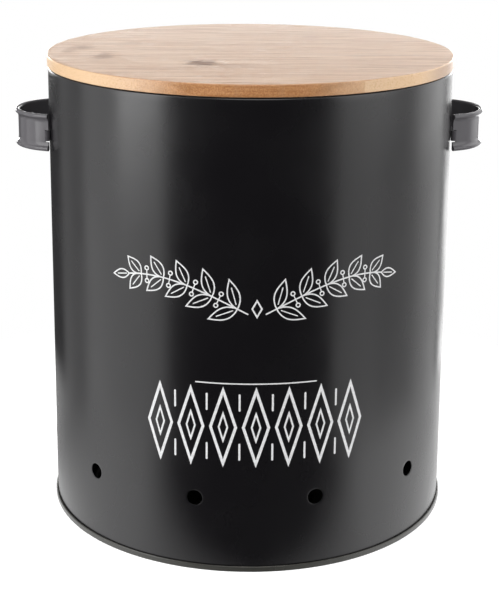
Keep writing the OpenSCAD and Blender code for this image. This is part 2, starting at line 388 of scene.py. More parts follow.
def base_profile():
    """The base's sheet: across the panel's top, through the seam's folds and back underneath."""
    well_out = SHELL_IN_R - SEAM_PLAY
    well_in = well_out - SHEET
    hook_in = SHELL_R + SEAM_PLAY
    hook_out = hook_in + SHEET
    fold_in = SEAM_R - SHEET
    step_out = PANEL_R + 2 * PANEL_STEP
    top, low = PANEL_TOP_Z, PANEL_TOP_Z - SHEET
    tight, round_fold, press = 0.1 * MM, 0.45 * MM, 1 * MM
    return rounded([
        (0, top - PANEL_STEP, 0),
        (PANEL_R, top - PANEL_STEP, press),
        (step_out, top, press),
        (well_out, top, round_fold),
        (well_out, SHEET, tight),
        (fold_in, SHEET, tight),
        (fold_in, SEAM_H - SHEET, tight),
        (hook_out, SEAM_H - SHEET, tight),
        (hook_out, HOOK_END_Z, 0),
        (hook_in, HOOK_END_Z, 0),
        (hook_in, SEAM_H, round_fold),
        (SEAM_R, SEAM_H, round_fold),
        (SEAM_R, 0, round_fold),
        (well_in, 0, round_fold),
        (well_in, low, tight),
        (step_out, low, press),
        (PANEL_R, low - PANEL_STEP, press),
        (0, low - PANEL_STEP, 0),
    ])


def make_base(paint):
    """The pressed base with both of its seam's folds."""
    verts, faces = lathe(base_profile(), ROUND_COLUMNS)
    even_shading(make_piece("seamed_base", verts, faces, "bin", paint, ["base_plate"]))


# ---- Handles ----

def strap_levels():
    """The strap's section from bottom to top: (height, inner face, outer face), the faces
    measured outwards from the outer side of the rolled edge."""
    bead_r = BEAD_T / 2
    proud = BEAD_T - STRAP_T
    hollow = 2 * math.atan(proud / (BEAD_H - bead_r))
    hollow_r = (BEAD_H - bead_r) / math.sin(hollow) - bead_r
    low, middle = GRIP_H / 2 - BEAD_H, GRIP_H / 2 - bead_r
    hollow_side = arc((low, hollow_r - proud), hollow_r, -QUARTER, hollow - QUARTER, BEAD_STEPS)[:-1]
    bead_side = arc((middle, -bead_r), bead_r, QUARTER + hollow, QUARTER, BEAD_STEPS)[:-1]
    cap = arc((middle, -bead_r), bead_r, QUARTER, QUARTER - BEAD_CAP, BEAD_STEPS)
    upper = [(z, -BEAD_T, outer) for z, outer in (*hollow_side, *bead_side)]
    upper += [(z, -BEAD_T - outer, outer) for z, outer in cap]
    lower = [(-z, inner, outer) for z, inner, outer in reversed(upper)]
    window = [(z, -BEAD_T, -proud) for z in window_edges()]
    return [*lower, *window, *upper]


def window_edges():
    """The low and high edge of the window that the foot is bent out of."""
    return -FOOT_DROP - FOOT_H / 2 - FOOT_SLIT, -FOOT_DROP + FOOT_H / 2 + FOOT_SLIT


def turned(x, y):
    """A point of the rear leg, drawn as if the leg ran along X, where the leaning leg has it."""
    cos_lean, sin_lean = math.cos(LEG_LEAN), math.sin(LEG_LEAN)
    return x * cos_lean + y * sin_lean, y * cos_lean - x * sin_lean


def foot_bend():
    """The centre of the bend between strap and foot, and its angle round the bin, as drawn."""
    y = LEG_Y - BEAD_T + (STRAP_T - FOOT_T) / 2 - FOOT_BEND_R
    x = math.sqrt((FOOT_R + FOOT_T + FOOT_BEND_R) ** 2 - y ** 2)
    return x, y, math.atan2(y, x)


def strap_path():
    """Stations along the strap seen from above: (x, y, outward heading)."""
    centre_x = GRIP_HIGH.x - BOW_R
    rear_leg = [(*turned(x, LEG_Y), LEG_TURN) for x in (foot_bend()[0], LEG_END_X)]
    front_leg = [(x, -y, -heading) for x, y, heading in reversed(rear_leg)]
    bow = []
    for i in range(BOW_STEPS + 1):
        heading = LEG_TURN * (2 * i / BOW_STEPS - 1)
        bow.append((centre_x + BOW_R * math.cos(heading), BOW_R * math.sin(heading), heading))
    return [*front_leg, *bow, *rear_leg]


def add_strap(verts, faces):
    """Sweeps the strap's section along its path, with a window at each end for the foot."""
    levels, path = strap_levels(), strap_path()
    first, last = [[level[0] for level in levels].index(edge) for edge in window_edges()]
    inner, outer = [], []
    for x, y, heading in path:
        for column, side in ((inner, 1), (outer, 2)):
            column.append(list(range(len(verts), len(verts) + len(levels))))
            for level in levels:
                along, across = level[side] * math.cos(heading), level[side] * math.sin(heading)
                verts.append((x + along, y + across, GRIP_Z + level[0]))
    end = len(path) - 1
    for s in range(end):
        in_window = s in (0, end - 1)
        for k in range(len(levels) - 1):
            if in_window and first <= k < last:
                continue
            for column in (inner, outer):
                here, onward = column[s], column[s + 1]
                faces.append([here[k], onward[k], onward[k + 1], here[k + 1]])
        cut_edges = (first, last) if in_window else ()
        for k in (0, len(levels) - 1, *cut_edges):
            faces.append([inner[s][k], inner[s + 1][k], outer[s + 1][k], outer[s][k]])
    for s, cut in ((0, 1), (end, end - 1)):
        for k in range(len(levels) - 1):
            station = cut if first <= k < last else s
            inside, outside = inner[station], outer[station]
            faces.append([inside[k], inside[k + 1], outside[k + 1], outside[k]])


def foot_outline():
    """The foot seen from above, as drawn: pairs of points on its two faces, from root to tip."""
    x, y, angle = foot_bend()
    outlines = []
    for depth in (0, FOOT_T):
        points = [(x + FOOT_ROOT, y + FOOT_BEND_R + depth)]
        points += arc((x, y), FOOT_BEND_R + depth, QUARTER, math.pi + angle, FOOT_STEPS)
        points += arc((0, 0), FOOT_R + FOOT_T - depth, angle, angle - FOOT_L / FOOT_R, FOOT_STEPS)[1:]
        outlines.append(points)
    return list(zip(*outlines))


def add_foot(verts, faces, side):
    """The strip that is bent inwards at one end of the strap and laid on the shell."""
    low = GRIP_Z - FOOT_DROP - FOOT_H / 2
    rings = []
    for inside, outside in foot_outline():
        rings.append(list(range(len(verts), len(verts) + 4)))
        for point, z in ((inside, low), (outside, low), (outside, low + FOOT_H), (inside, low + FOOT_H)):
            x, y = turned(*point)
            verts.append((x, y * side, z))
    for first, second in zip(rings, rings[1:]):
        bridge(faces, first, second)
    faces += [rings[0], rings[-1]]


def make_handle(name, node, side, paint):
    """One strap handle: its strap, and the foot bent out of each of its ends."""
    verts, faces = [], []
    add_strap(verts, faces)
    for end in (-1, 1):
        add_foot(verts, faces, end)
    verts = [(side * x, y, z) for x, y, z in verts]
    handle = make_piece(name, verts, faces, "bin", paint, [node])
    soften_edges(handle, STRAP_EDGE_BREAK)
    even_shading(handle)


# ---- Rivets ----

def rivet_profile(tail_x, foot_x):
    """A blind rivet's outline along its own axis: closed tail, shank and domed head."""
    dome_r = (RIVET_HEAD_R ** 2 + RIVET_HEAD_H ** 2) / (2 * RIVET_HEAD_H)
    dome_x = foot_x + RIVET_HEAD_H - dome_r
    edge, mouth = math.acos(RIVET_HEAD_R / dome_r), math.acos(RIVET_HOLE_R / dome_r)
    dome = arc((0, dome_x), dome_r, edge, mouth, RIVET_DOME_STEPS)
    floor_x = foot_x + RIVET_HEAD_H / 2
    tail = rounded([
        (0, tail_x - RIVET_TAIL_H, 0),
        (RIVET_TAIL_R, tail_x - RIVET_TAIL_H, RIVET_TAIL_ROUND),
        (RIVET_TAIL_R, tail_x, RIVET_TAIL_ROUND),
        (RIVET_R, tail_x, 0),
    ])
    return [*tail, (RIVET_R, foot_x), *dome, (RIVET_HOLE_R, floor_x), (0, floor_x)]


def make_rivet(name, node, paint):
    """A rivet along the radius through its node's middle."""
    low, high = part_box(node)
    middle = (low + high) / 2
    tail_x = math.sqrt(SHELL_IN_R ** 2 - RIVET_TAIL_R ** 2)
    verts, faces = lathe(rivet_profile(tail_x, FOOT_R + FOOT_T), RIVET_COLUMNS)
    laid_down = Matrix.Rotation(QUARTER, 4, "Y")
    bearing = Matrix.Rotation(math.atan2(middle.y, middle.x), 4, "Z")
    place = Matrix.Translation((0, 0, middle.z)) @ bearing @ laid_down
    rivet = make_piece(name, [place @ Vector(v) for v in verts], faces, "bin", paint, [node])
    even_shading(rivet)


# ---- Lid ----

def board_profile():
    """The board from the middle of its top, round its edge, to the middle of its plug."""
    groove_top, groove_low = SEAL_Z + GROOVE_H / 2, SEAL_Z - GROOVE_H / 2
    return rounded([
        (0, LID_TOP_Z, 0),
        (LID_R, LID_TOP_Z, BOARD_TOP_ROUND),
        (LID_R, BOARD_Z, BOARD_LOW_ROUND),
        (PLUG_R, BOARD_Z, STEP_ROUND),
        (PLUG_R, groove_top, GROOVE_ROUND),
        (GROOVE_R, groove_top, GROOVE_ROUND),
        (GROOVE_R, groove_low, GROOVE_ROUND),
        (PLUG_R, groove_low, GROOVE_ROUND),
        (PLUG_R, PLUG_Z, PLUG_ROUND),
        (0, PLUG_Z, 0),
    ])


def make_board(bamboo):
    """The lid's board with its plug and groove."""
    verts, faces = lathe(board_profile(), ROUND_COLUMNS)
    even_shading(make_piece("bamboo_board", verts, faces, "lid", bamboo, ["lid_board"]))


def make_seal(silicone):
    """A ring whose flange sits in the groove and whose round lip meets the rim."""
    low, high = SEAL_Z - GROOVE_H / 2 + SEAL_PLAY, SEAL_Z + GROOVE_H / 2 - SEAL_PLAY
    lip_x = SEAL_R - SEAL_LIP_R
    lip = arc((lip_x, SEAL_Z), SEAL_LIP_R, -QUARTER, QUARTER, SEAL_LIP_STEPS)
    profile = [
        (GROOVE_R + SEAL_PLAY, low),
        (PLUG_R, low),
        (PLUG_R, SEAL_Z - SEAL_LIP_R),
        *[point for point in lip if point[0] > PLUG_R + SEAL_PLAY],
        (PLUG_R, SEAL_Z + SEAL_LIP_R),
        (PLUG_R, high),
        (GROOVE_R + SEAL_PLAY, high),
    ]
    verts, faces = lathe(profile, ROUND_COLUMNS, closed=True)
    even_shading(make_piece("seal_ring", verts, faces, "lid", silicone, ["lid_seal"]))


# ---- Printed ornament: leaf sprigs, a rule and a band of lozenges ----

# the ink, and how far a second layer stands out over the first
INK_T = 0.05 * MM
INK_LAYER = 0.2 * INK_T
UNDERSIDE = -1
LINE_CAP_STEPS = 6
SHARPEST_CORNER = 0.35

# in millimetres across the wall from its middle, and up from the table
SPRIG_START = 5
SPRIG_REACH = 74
SPRIG_Z = 161
SPRIG_RISE = 9
SPRIG_ARCH = 0.62
STEM_STEPS = 30
STEM_NUDGE = 0.02
STEM_LINE = 0.8
FINE_LINE = 0.6

LEAF_PAIRS = 5
LEAF_PLACE = 0.35
LEAF_OFFSET = 0.9
LEAF_SPREAD = math.radians(48)
LEAF_L = 17
LEAF_SHORTER = 1.2
LEAF_W = 6.6
LEAF_FULLNESS = 0.85
LEAF_STEPS = 12
LEAF_LINE = 0.75
RIB_SHARES = (0.16, 0.72)
TIP_LEAF = (11, 5)
TIP_STEP = 0.03

BERRY_PLACE = 1.15
BERRY_OUT = 3.6
BERRY_R = 1.1
BERRY_STEPS = 16
BERRY_LINE = 0.7
STALK_START = 0.6
STALK_END = BERRY_OUT - 1.4

RULE_HALF = 33.5
RULE_Z = 112
RULE_LINE = 0.7
BAND_COUNT = 7
BAND_PITCH = 18.2
BAND_Z = 86.5
STROKE_REACH = (19, 10)
STROKE_LINE = 1.1

# lozenges: half width, half height and line; before them the middle one's place up
CENTRE_LOZENGE = (155, 2.6, 4.6, 0.9)
BAND_LOZENGES = [(7, 21.5, 1.6), (2.4, 8, 1)]


class Print:
    """Lines of white ink on the shell's front, drawn in millimetres across and up."""

    def __init__(self):
        """Starts with no ink."""
        self.verts = []
        self.faces = []

    def point(self, across, up, layer):
        """Adds a point on a layer of ink, or under the ink, and gives its number."""
        height = -INK_T if layer == UNDERSIDE else INK_T + layer * INK_LAYER
        angle = across * MM / SHELL_R - QUARTER
        self.verts.append(on_wall(angle, SHELL_R + height, up * MM))
        return len(self.verts) - 1

    def line(self, points, width, layer=0):
        """An open line with round ends."""
        left, right = [], []
        points = [Vector(p) for p in points]
        for i, here in enumerate(points):
            before, after = points[max(i - 1, 0)], points[min(i + 1, len(points) - 1)]
            along = (after - before).normalized()
            side = Vector((-along.y, along.x)) * width / 2
            left.append(here + side)
            right.append(here - side)
        caps = []
        for end, other in ((points[-1], points[-2]), (points[0], points[1])):
            out = math.atan2(end.y - other.y, end.x - other.x)
            caps.append(arc(end, width / 2, out + QUARTER, out - QUARTER, LINE_CAP_STEPS)[1:-1])
        rim = [*left, *caps[0], *reversed(right), *caps[1]]
        top = [self.point(x, y, layer) for x, y in rim]
        low = [self.point(x, y, UNDERSIDE) for x, y in rim]
        bridge(self.faces, top, low)
        count, cap = len(points), len(caps[0])
        for ring in (top, low):
            for i in range(count - 1):
                j = 2 * count + cap - 1 - i
                self.faces.append([ring[i], ring[i + 1], ring[j - 1], ring[j]])
            self.faces.append(ring[count - 1:count + cap + 1])
            self.faces.append([*ring[2 * count + cap - 1:], ring[0]])

    def loop(self, points, width, layer=0):
        """A closed line."""
        inner, outer = [], []
        points = [Vector(p) for p in points]
        for i, here in enumerate(points):
            before, after = points[i - 1], points[(i + 1) % len(points)]
            back, onward = (here - before).normalized(), (after - here).normalized()
            side = Vector((-back.y - onward.y, back.x + onward.x)).normalized()
            reach = width / 2 / max(SHARPEST_CORNER, side.dot(Vector((-back.y, back.x))))
            inner.append(here + side * reach)
            outer.append(here - side * reach)
        rings = []
        for rim in (inner, outer):
            for level in (layer, UNDERSIDE):
                rings.append([self.point(x, y, level) for x, y in rim])
        inner_top, inner_low, outer_top, outer_low = rings
        around = [inner_top, outer_top, outer_low, inner_low, inner_top]
        for first, second in zip(around, around[1:]):
            bridge(self.faces, first, second)


def between(start, end, steps):
    """Evenly spaced points of a straight line."""
    return [Vector(start).lerp(Vector(end), i / steps) for i in range(steps + 1)]


def leaf(drawing, root, heading, length, width):
    """A pointed leaf with a rib, its root at the stem."""
    along = Vector((math.cos(heading), math.sin(heading)))
    side = Vector((-along.y, along.x))
    edge = []
    for way in (1, -1):
        for i in range(LEAF_STEPS):
            t = i / LEAF_STEPS if way > 0 else 1 - i / LEAF_STEPS
            bulge = math.sin(math.pi * t ** LEAF_FULLNESS) * width / 2
            edge.append(root + along * length * t + side * bulge * way)
    drawing.loop(edge, LEAF_LINE)
    rib_start, rib_end = (root + along * length * share for share in RIB_SHARES)
    drawing.line(between(rib_start, rib_end, 5), FINE_LINE, 1)


def sprig(drawing, side):
    """Half of the garland: a curved stem with paired leaves and a berry between the pairs."""

    def stem(t):
        """A point of the stem, from its root at 0 to its tip at 1."""
        across = SPRIG_START + (SPRIG_REACH - SPRIG_START) * t
        rise = 2 * SPRIG_RISE * math.sin(math.pi * t * SPRIG_ARCH)
        return Vector((side * across, SPRIG_Z - SPRIG_RISE + rise))

    drawing.line([stem(i / STEM_STEPS) for i in range(STEM_STEPS + 1)], STEM_LINE)
    for i in range(LEAF_PAIRS):
        t = (i + LEAF_PLACE) / LEAF_PAIRS
        here = stem(t)
        along = stem(t + STEM_NUDGE) - stem(t - STEM_NUDGE)
        root = here + (stem(t + STEM_NUDGE / 2) - here).normalized() * LEAF_OFFSET
        for way in (-1, 1):
            heading = math.atan2(along.y, along.x) + LEAF_SPREAD * way * side
            leaf(drawing, root, heading, LEAF_L - LEAF_SHORTER * i, LEAF_W)
    for i in range(LEAF_PAIRS - 1):
        t = (i + BERRY_PLACE) / LEAF_PAIRS
        here = stem(t)
        along = (stem(t + STEM_NUDGE) - stem(t - STEM_NUDGE)).normalized()
        for way in (-1, 1):
            out = Vector((-along.y, along.x)) * way
            drawing.loop(arc(here + out * BERRY_OUT, BERRY_R, 0, math.tau, BERRY_STEPS)[:-1], BERRY_LINE)
            stalk = between(here + out * STALK_START, here + out * STALK_END, 3)
            drawing.line(stalk, FINE_LINE, 1)
    along = stem(1) - stem(1 - TIP_STEP)
    leaf(drawing, stem(1), math.atan2(along.y, along.x), *TIP_LEAF)


def lozenge(drawing, across, up, half_w, half_h, width):
    """The outline of an upright lozenge."""
    corners = [(half_w, 0), (0, half_h), (-half_w, 0), (0, -half_h)]
    edge = []
    for i, corner in enumerate(corners):
        onward = corners[(i + 1) % len(corners)]
        edge += between(corner, onward, 6)[:-1]
    drawing.loop([(across + x, up + y) for x, y in edge], width)


def make_print(ink):
    """The garland, the rule under it and the band of lozenges with strokes between them."""
    drawing = Print()
    for side in (-1, 1):
        sprig(drawing, side)
    lozenge(drawing, 0, *CENTRE_LOZENGE)
    drawing.line(between((-RULE_HALF, RULE_Z), (RULE_HALF, RULE_Z), 24), RULE_LINE)
    for i in range(BAND_COUNT):
        across = (i - (BAND_COUNT - 1) / 2) * BAND_PITCH
        for sizes in BAND_LOZENGES:
            lozenge(drawing, across, BAND_Z, *sizes)
    for i in range(BAND_COUNT - 1):
        across = (i + 1 - BAND_COUNT / 2) * BAND_PITCH
        for way in (-1, 1):
            start, end = (BAND_Z + way * reach for reach in STROKE_REACH)
            drawing.line(between((across, start), (across, end), 4), STROKE_LINE)
    return make_piece("printed_ornament", drawing.verts, drawing.faces, "bin", ink)


# ---- Node groups that several finishes share ----

def new_group(name, inputs, outputs):
    """An empty shader group with named number inputs, and its in and out nodes."""
    group = bpy.data.node_groups.new(name, "ShaderNodeTree")
    for label, value in inputs:
        socket = group.interface.new_socket(label, in_out="INPUT", socket_type="NodeSocketFloat")
        socket.default_value = value
    for label in outputs:
        group.interface.new_socket(label, in_out="OUTPUT", socket_type="NodeSocketFloat")
    return group, group.nodes.new("NodeGroupInput"), group.nodes.new("NodeGroupOutput")


def feed(node, inputs):
    """Fills a node's sockets, by name or number, from other sockets or with values."""
    for label, value in inputs.items():
        if isinstance(value, bpy.types.NodeSocket):
            node.id_data.links.new(value, node.inputs[label])
        else:
            node.inputs[label].default_value = value


def add_node(kind, inputs, **settings):
    """A shader node in the same tree as the sockets that feed it."""
    sockets = [value for value in inputs.values() if isinstance(value, bpy.types.NodeSocket)]
    node = sockets[0].id_data.nodes.new("ShaderNode" + kind)
    for setting, value in settings.items():
        setattr(node, setting, value)
    feed(node, inputs)
    return node


def maths(operation, first, second, clamp=False):
    """An operation on two sockets or numbers."""
    return add_node("Math", {0: first, 1: second}, operation=operation, use_clamp=clamp).outputs[0]


def product(first, *others):
    """Values multiplied."""
    for other in others:
        first = maths("MULTIPLY", first, other)
    return first


def distance(value, place):
    """How far a value is from a place on its axis."""
    return maths("ABSOLUTE", maths("SUBTRACT", value, place), 0)


def swing(value, reach):
    """Turns noise from 0 to 1 into one that swings about zero."""
    return product(maths("SUBTRACT", value, 0.5), reach)


def split_axes(vector):
    """The X, Y and Z of a vector."""
    return list(add_node("SeparateXYZ", {0: vector}).outputs)


def surface_normal(tree, kind="Normal"):
    """The X, Y and Z of the surface's direction."""
    return split_axes(tree.nodes.new("ShaderNodeNewGeometry").outputs[kind])


def place_in_mm(tree):
    """Where a point is on the object, in millimetres."""
    place = tree.nodes.new("ShaderNodeTexCoord").outputs["Object"]
    return add_node("VectorMath", {0: place, "Scale": 1 / MM}, operation="SCALE").outputs[0]


def noise(place, scale, detail=2.0, stretch=None):
    """Noise with a given number of cells per millimetre, stretched by a vector if one is given."""
    if stretch is not None:
        place = add_node("VectorMath", {0: place, 1: stretch}, operation="MULTIPLY").outputs[0]
    return add_node("TexNoise", {"Vector": place, "Scale": scale, "Detail": detail}).outputs["Fac"]


def ramp(value, low, high, out_low=0.0, out_high=1.0):
    """A smooth step from one value to another."""
    inputs = {"Value": value, "From Min": low, "From Max": high, "To Min": out_low, "To Max": out_high}
    return add_node("MapRange", inputs, interpolation_type="SMOOTHSTEP").outputs["Result"]


def mix_colour(factor, first, second, blend="MIX"):
    """A colour between two, each a socket or an (r, g, b)."""
    first, second = ((*c, 1) if isinstance(c, tuple) else c for c in (first, second))
    inputs = {"Factor": factor, 6: first, 7: second}
    return add_node("Mix", inputs, data_type="RGBA", blend_type=blend).outputs[2]


def sprayed_coat_group():
    """Powder coat: its fine peel as a height, and soft clouds where it lies thicker."""
    inputs = [("Peel Scale", 0.9), ("Cloud Scale", 0.02)]
    group, inlet, outlet = new_group("sprayed coat", inputs, ["Height", "Clouds"])
    place = place_in_mm(group)
    peel = noise(place, inlet.outputs["Peel Scale"], 1.0)
    clouds = noise(place, inlet.outputs["Cloud Scale"], 3.0)
    feed(outlet, {"Height": peel, "Clouds": clouds})
    return group


def handling_group():
    """Dust that settles on what faces up, and faint rubs and specks everywhere."""
    group, inlet, outlet = new_group("handling marks", [("Dust", 0.5), ("Specks", 0.5)], ["Dust", "Rubs"])
    place = place_in_mm(group)
    upward = ramp(surface_normal(group)[2], 0.5, 1.0)
    drift = ramp(noise(place, 0.12, 4.0), 0.35, 0.75)
    specks = ramp(noise(place, 1.7, 2.0), 0.7, 0.78)
    dust = product(upward, drift, inlet.outputs["Dust"])
    flecks = product(specks, inlet.outputs["Specks"])
    smears = ramp(noise(place, 0.03, 5.0, stretch=(1, 1, 0.45)), 0.45, 0.7)
    feed(outlet, {"Dust": maths("ADD", dust, flecks, clamp=True), "Rubs": smears})
    return group


def new_material(name):
    """A material with its node tree and its shader."""
    material = bpy.data.materials.new(name)
    material.use_nodes = True
    tree = material.node_tree
    return material, tree, tree.nodes["Principled BSDF"]


def use_group(tree, group, values):
    """The outputs of a group placed in a material with its own values."""
    node = tree.nodes.new("ShaderNodeGroup")
    node.node_tree = group
    feed(node, values)
    return node.outputs


def bump(height, strength, depth):
    """Relief in the surface's shading, as deep as a height in metres."""
    inputs = {"Height": height, "Strength": strength, "Distance": depth}
    return add_node("Bump", inputs).outputs["Normal"]


# ---- Finishes ----

CLOUD_DULLING = 0.03
RUB_DULLING = 0.04
VARNISH_ROUGHNESS = 0.12

# paints: name, colour, colour where dusty, roughness, the peel's scale and depth, shine, varnish
PAINTS = {
    "shell": ("satin black shell paint", (0.0048, 0.0043, 0.0053), (0.1, 0.1, 0.1), 0.25, 0.9, 0.02 * MM),
    # the handle's black is lifted to a dark grey: painted light, standing in for the light and sheen that
    # the straps catch
    "handle": (
        "satin black handle paint", (0.082, 0.078, 0.085), (0.16, 0.16, 0.16),
        0.3, 0.7, 0.03 * MM, 0.05, 0.6,
    ),
    "base": ("olive grey base lacquer", (0.03, 0.0295, 0.025), (0.12, 0.115, 0.1), 0.25, 1.1, 0.02 * MM),
    "rivet": ("black rivet paint", (0.03, 0.029, 0.032), (0.12, 0.12, 0.12), 0.3, 1.4, 0.03 * MM),
}

SILICONE_DEEP = (0.66, 0.65, 0.6)
SILICONE_PALE = (0.78, 0.77, 0.73)
SILICONE_DUSTY = (0.5, 0.47, 0.42)
SILICONE_SCATTER = (1.2 * MM, 1.1 * MM, 1.0 * MM)
INK_THIN = (0.62, 0.62, 0.63)
INK_FULL = (0.72, 0.72, 0.72)
INK_DUSTY = (0.5, 0.49, 0.47)


def paint_finish(coat, marks, name, colour, dusty, roughness, peel_scale, peel_depth, shine=0.5, varnish=0):
    """Satin paint on steel: fine peel, uneven gloss, a trace of dust and handling, and a clear
    varnish over it where it has one."""
    material, tree, shader = new_material(name)
    sprayed = use_group(tree, coat, {"Peel Scale": peel_scale, "Cloud Scale": 0.025})
    handled = use_group(tree, marks, {"Dust": 0.35, "Specks": 0.1})
    clouded = ramp(sprayed["Clouds"], 0.3, 0.7, roughness - CLOUD_DULLING, roughness + CLOUD_DULLING)
    feed(shader, {
        "Base Color": mix_colour(handled["Dust"], colour, dusty),
        "Roughness": maths("ADD", product(handled["Rubs"], RUB_DULLING), clouded),
        "Normal": bump(sprayed["Height"], 0.25, peel_depth),
        "Specular IOR Level": shine,
        "Coat Weight": varnish,
        "Coat Roughness": VARNISH_ROUGHNESS,
    })
    return material


# the bamboo's strips, knuckles and joint, in millimetres
STRIP_W = 17
STRIP_WANDER = 3
STRIP_SEED = 57.3
KNUCKLE_SPREAD = 230
KNUCKLE_RAGGED = 13
FAINT_KNUCKLE = 0.12
MARK_TORN = 3.4
OPEN_JOINT_Y = -19.5
OPEN_JOINT_DEPTH = 0.6

# where the top shows a knuckle: its middle, its half length and width, its depth of colour
KNUCKLE_MARKS = [
    (-29, -50, 11, 14, 1.0),
    (-16, -60, 24, 6, 0.35),
    (-86, -25, 7, 14, 0.6),
    (-100, 10, 8, 10, 0.6),
    (-108, -2, 5, 12, 0.35),
    (-72, 28, 6, 9, 0.3),
    (40, 55, 7, 16, 0.25),
    (-20, 45, 8, 12, 0.15),
]

# the bamboo's colours: face, sides along the strips, end grain, and what darkens them
FACE_DEEP = (0.53, 0.36, 0.245)
FACE_PALE = (0.69, 0.51, 0.375)
FACE_WARM = (0.61, 0.42, 0.285)
SIDE_DEEP = (0.425, 0.208, 0.083)
SIDE_PALE = (0.535, 0.28, 0.125)
END_DEEP = (0.63, 0.418, 0.238)
END_PALE = (0.735, 0.528, 0.325)
END_FAR_RIGHT = (0.42, 0.268, 0.162)
DOT_STAIN = (0.45, 0.2, 0.08)
LINE_STAIN = (0.7, 0.56, 0.45)
FIBRE_STAIN = (0.55, 0.36, 0.22)
PORE_STAIN = (0.5, 0.33, 0.2)
KNUCKLE_BROWN = (0.17, 0.08, 0.04)
JOINT_BROWN = (0.36, 0.22, 0.13)
OPEN_JOINT_BROWN = (0.3, 0.18, 0.12)


def white_noise(value):
    """A chance value from 0 to 1 for each whole number."""
    return add_node("TexWhiteNoise", {"W": value}, noise_dimensions="1D").outputs["Value"]


def strip_layout(place, y):
    """How far a point is from its strip's middle, in strip widths, and two chances of the strip."""
    wander = product(noise(place, 0.004, 1.0), STRIP_WANDER)
    strips = maths("DIVIDE", maths("ADD", y, wander), STRIP_W)
    index = maths("FLOOR", strips, 0)
    off_middle = distance(maths("FRACT", strips, 0), 0.5)
    return off_middle, white_noise(index), white_noise(maths("ADD", index, STRIP_SEED))


def knuckle_mask(place, x, y, off_middle, chance, luck):
    """The bamboo's knuckles: smudged marks on the top, and a faint one across each strip."""
    ragged = swing(noise(place, 0.22, 3.0), KNUCKLE_RAGGED)
    from_knuckle = maths("SUBTRACT", x, swing(chance, KNUCKLE_SPREAD))
    band = ramp(distance(maths("ADD", from_knuckle, ragged), 0), 0.5, 6.5, 1.0, 0.0)
    within = ramp(off_middle, 0.2, 0.46, 1.0, 0.0)
    knuckle = product(band, within, ramp(luck, 0.25, 1.0, 0.0, FAINT_KNUCKLE))
    torn = swing(noise(place, 0.45, 4.0, stretch=(0.3, 1, 1)), MARK_TORN)
    for mark_x, mark_y, half_x, half_y, depth in KNUCKLE_MARKS:
        away = torn
        for value, middle, half in ((x, mark_x, half_x), (y, mark_y, half_y)):
            part = maths("DIVIDE", maths("SUBTRACT", value, middle), half)
            away = maths("ADD", away, product(part, part))
        knuckle = maths("MAXIMUM", knuckle, ramp(away, 0.0, 1.1, depth, 0.0))
    return knuckle


def open_joint_mask(x, y):
    """The one glue joint of the top that has opened a little, towards its right."""
    line = ramp(distance(y, OPEN_JOINT_Y), 0.5, 1.5, 1.0, 0.0)
    return product(line, ramp(x, 30, 50), ramp(x, 95, 108, OPEN_JOINT_DEPTH, 0.0))


def end_mask(across):
    """Where the board's edge shows end grain: at its left, at its right, and a blush before that."""
    left_end = ramp(across, -0.75, -0.22, 1.0, 0.0)
    right_end = ramp(across, 0.445, 0.475)
    right_blush = ramp(across, 0.15, 0.46, 0.0, 0.5)
    return maths("MAXIMUM", left_end, maths("MAXIMUM", right_end, right_blush))


def bamboo_finish():
    """Glued bamboo strips along X: pale sanded faces, honey sides and dotted end grain."""
    material, tree, shader = new_material("sanded bamboo")
    place = place_in_mm(tree)
    x, y, _ = split_axes(place)
    off_middle, chance, luck = strip_layout(place, y)
    knuckle = knuckle_mask(place, x, y, off_middle, chance, luck)
    joint = product(ramp(off_middle, 0.485, 0.5), ramp(luck, 0.5, 0.9, 0.15, 0.8))

    fibre = noise(place, 1.0, 3.0, stretch=(0.02, 1.5, 1.5))
    streaks = noise(place, 1.0, 3.0, stretch=(0.006, 0.3, 0.3))
    pores = ramp(noise(place, 1.0, 1.0, stretch=(0.09, 2.6, 2.6)), 0.6, 0.72)
    lines = ramp(noise(place, 1.0, 4.0, stretch=(0.022, 0.42, 0.42)), 0.4, 0.6, 0.0, 0.6)
    dots = ramp(noise(place, 1.5, 1.0), 0.42, 0.6, 0.4, 0.0)

    across, _, up = surface_normal(tree, "True Normal")
    flat = ramp(distance(up, 0), 0.55, 0.9)
    end = end_mask(across)
    side = maths("SUBTRACT", 1.0, maths("MAXIMUM", flat, end))

    face_tone = mix_colour(ramp(streaks, 0.3, 0.7), FACE_DEEP, FACE_PALE)
    face_tone = mix_colour(ramp(chance, 0.0, 1.0, 0.0, 0.35), face_tone, FACE_WARM)
    side_tone = mix_colour(ramp(streaks, 0.35, 0.65), SIDE_DEEP, SIDE_PALE)
    end_tone = mix_colour(ramp(fibre, 0.35, 0.65), END_DEEP, END_PALE)
    # the end grain turns darker towards the far right of the edge
    end_tone = mix_colour(ramp(across, 0.74, 0.88), end_tone, END_FAR_RIGHT)
    tone = mix_colour(flat, mix_colour(end, side_tone, end_tone), face_tone)
    for amount, colour, blend in (
        (product(dots, side), DOT_STAIN, "MULTIPLY"),
        (product(lines, flat), LINE_STAIN, "MULTIPLY"),
        (ramp(fibre, 0.35, 0.7, 0.0, 0.32), FIBRE_STAIN, "MULTIPLY"),
        (product(pores, 0.4), PORE_STAIN, "MULTIPLY"),
        (knuckle, KNUCKLE_BROWN, "MIX"),
        (product(joint, 0.5), JOINT_BROWN, "MIX"),
        (open_joint_mask(x, y), OPEN_JOINT_BROWN, "MIX"),
    ):
        tone = mix_colour(amount, tone, colour, blend)

    sunk = maths("ADD", joint, product(pores, 0.5))
    fibre_gloss = ramp(fibre, 0.3, 0.7, 0.25, 0.36)
    feed(shader, {
        "Base Color": tone,
        "Roughness": maths("ADD", fibre_gloss, product(knuckle, 0.08)),
        "Normal": bump(maths("SUBTRACT", fibre, sunk), 0.3, 0.08 * MM),
    })
    return material


